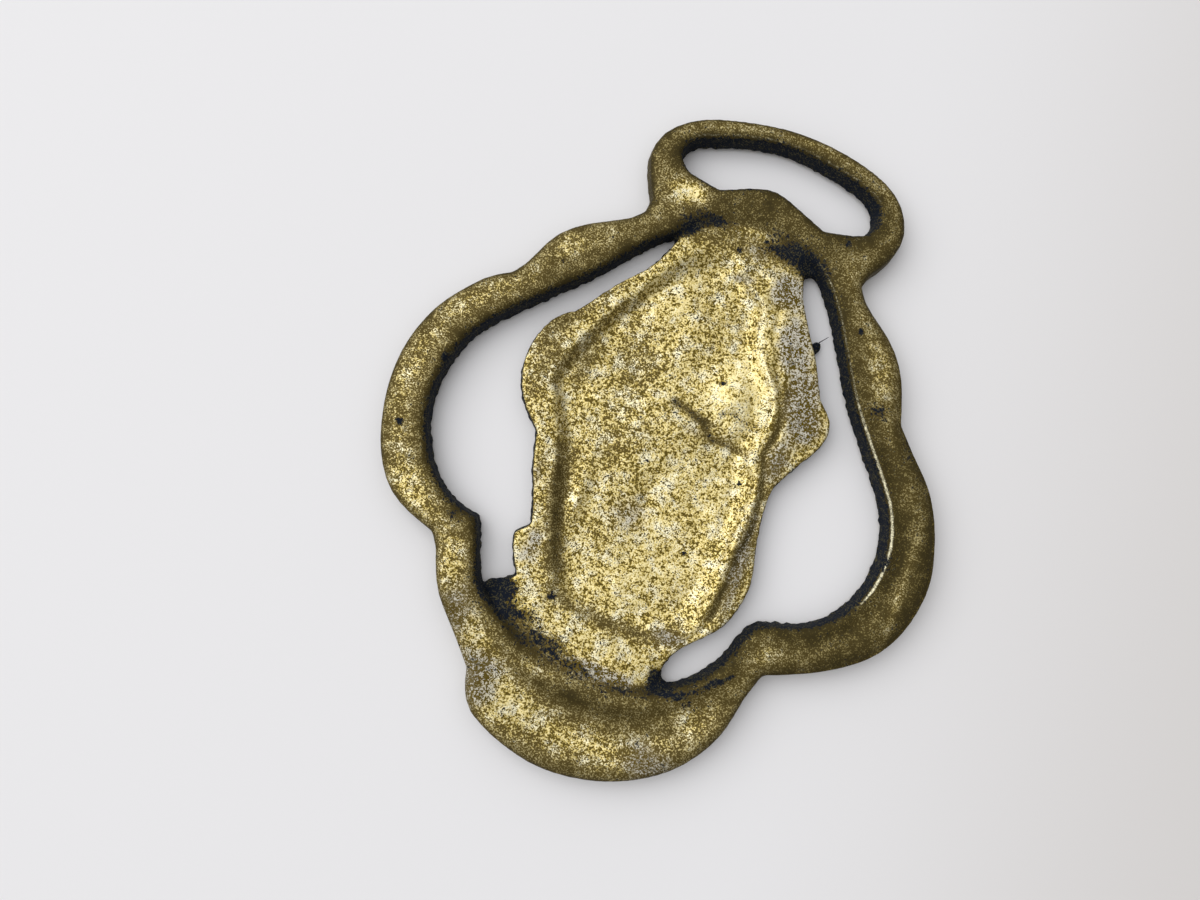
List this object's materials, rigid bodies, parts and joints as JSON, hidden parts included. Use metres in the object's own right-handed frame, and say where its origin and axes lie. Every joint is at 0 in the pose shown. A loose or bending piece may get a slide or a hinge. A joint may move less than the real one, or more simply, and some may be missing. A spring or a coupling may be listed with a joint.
{
  "type": "horse brass",
  "caption": "Cast brass harness ornament: an openwork lobed frame with a strap loop on top and a hollow-backed bust joined to it at top and foot.",
  "frame": {"origin": "middle of the underside of the brass as it lies on its front", "axes": "+Y runs up the brass to the top of the strap loop, +Z is the outward direction of its back, and +X is to the right as seen from above"},
  "size_m": [0.0748, 0.0894, 0.0042],
  "materials": {
    "cast_brass": "aged cast brass, speckled gold and brown, with near-black dirt on the walls of its openings"
  },
  "bodies": {
    "root": {"horse_brass": "cast_brass"}
  },
  "joints": []
}
